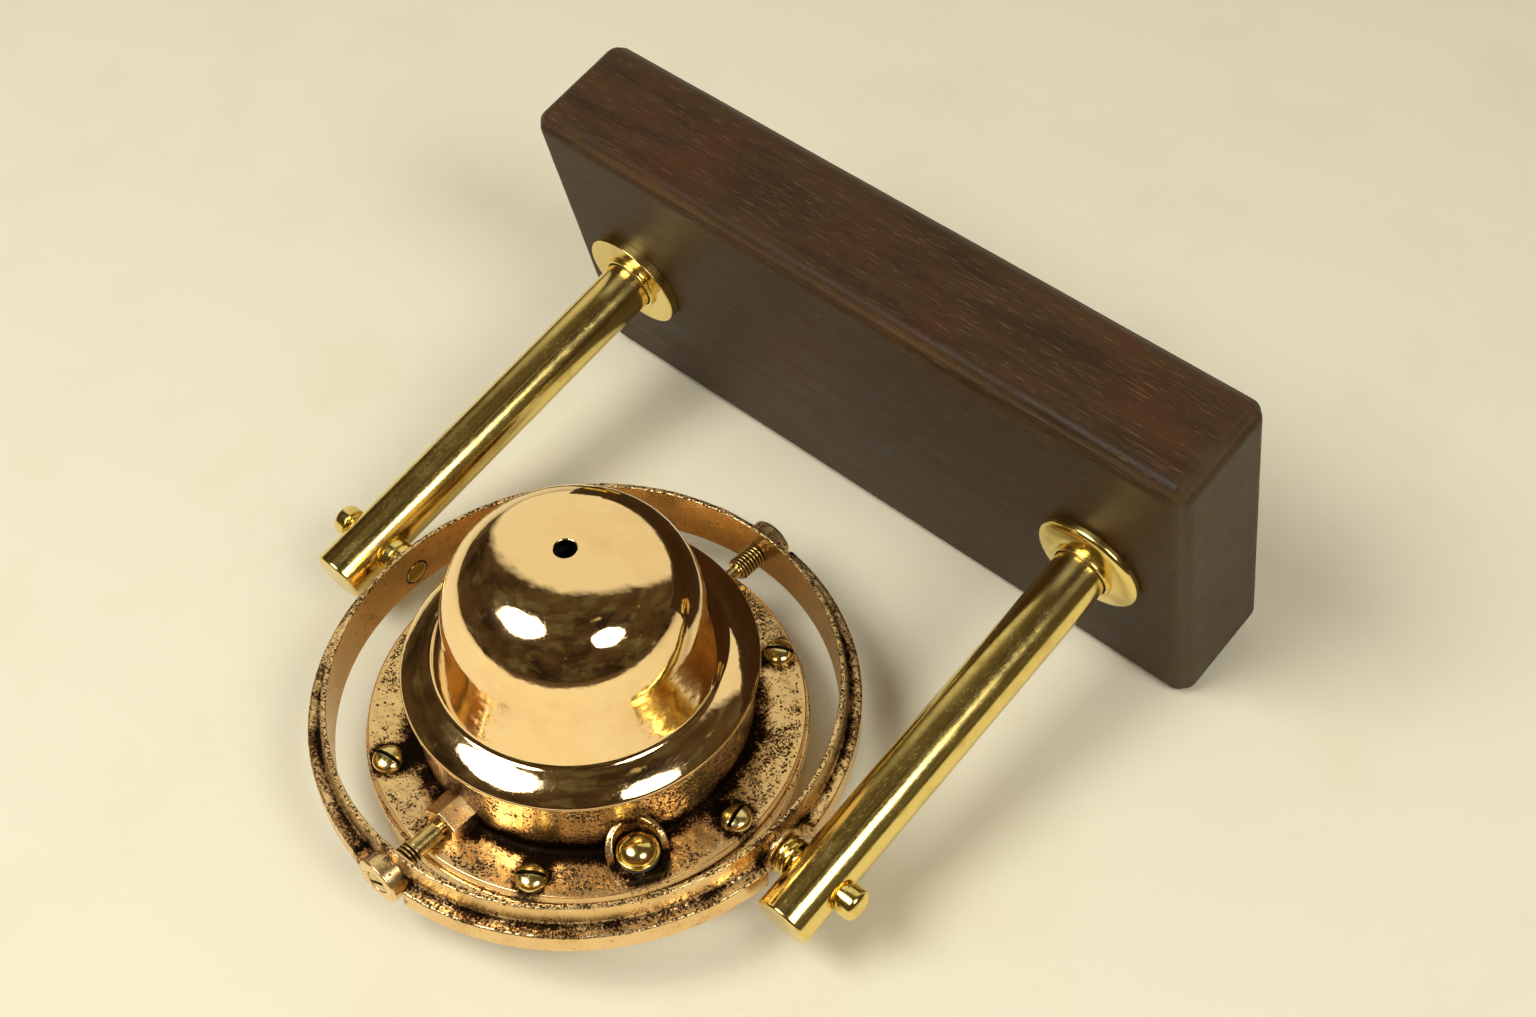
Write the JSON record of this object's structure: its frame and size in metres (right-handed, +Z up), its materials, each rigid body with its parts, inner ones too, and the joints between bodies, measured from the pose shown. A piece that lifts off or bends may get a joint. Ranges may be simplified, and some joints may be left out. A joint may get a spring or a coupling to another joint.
{
  "type": "magnetic compass",
  "caption": "Liquid magnetic compass with a bell-shaped bottom, hung in a gimbal ring between posts on a wooden base, lying face down.",
  "frame": {"origin": "on the surface that the compass lies on, below the middle of the whole object", "axes": "+Z up from that surface, +X along the wooden base to the right-hand post, +Y from the bowl to the base"},
  "size_m": [0.2, 0.2056, 0.0987],
  "materials": {
    "hardwood": "oiled dark hardwood, open grain, worn edges",
    "post_brass": "polished, with fine scratches",
    "screw_brass": "turned, with tarnish in the slots and threads",
    "bell_bronze": "mirror polish",
    "cast_bronze": "sand-cast bronze, pitted, with dark patina in the corners",
    "sheet_brass": "spun and turned",
    "steel": "turned",
    "lead": "cast lead",
    "gasket_rubber": "matte",
    "glass": "flat, clear",
    "card": "printed, matte",
    "jewel": "polished synthetic stone"
  },
  "bodies": {
    "stand": {"base_block": "hardwood", "post_left": "post_brass", "post_right": "post_brass", "rosette_left": "post_brass", "rosette_right": "post_brass", "post_screws": "steel", "post_washers": "steel", "pivot_pin_left": "post_brass", "pivot_pin_right": "post_brass", "pivot_collars": "post_brass"},
    "ring": {"gimbal_ring": "cast_bronze", "pivot_screw_front": "screw_brass", "pivot_screw_rear": "screw_brass"},
    "bowl": {"bell_cover": "bell_bronze", "ballast_weight": "lead", "diaphragm": "sheet_brass", "diaphragm_ring": "sheet_brass", "bottom_casting": "cast_bronze", "flange_screws": "screw_brass", "flange_gasket": "gasket_rubber", "bowl_body": "cast_bronze", "filler_plug": "screw_brass", "filler_washer": "gasket_rubber", "pivot_bridge": "sheet_brass", "bridge_screws": "screw_brass", "pivot_needle": "steel", "lubber_pin": "screw_brass", "glass": "glass", "glass_gasket": "gasket_rubber", "bezel_ring": "cast_bronze", "bezel_screws": "screw_brass"},
    "card": {"compass_card": "card", "card_float": "sheet_brass", "jewel_cup": "jewel", "magnets": "steel"}
  },
  "joints": [
    {"name": "ring_pivot", "type": "hinge", "parent": "stand", "child": "ring", "pos_m": [0, -0.03642, 0.022], "axis": [1, 0, 0], "continuous": true},
    {"name": "bowl_pivot", "type": "hinge", "parent": "ring", "child": "bowl", "pos_m": [0, -0.03642, 0.022], "axis": [0, 1, 0], "continuous": true},
    {"name": "card_pivot", "type": "hinge", "parent": "bowl", "child": "card", "pos_m": [0, -0.03642, 0.009], "axis": [0, 0, 1], "continuous": true}
  ]
}
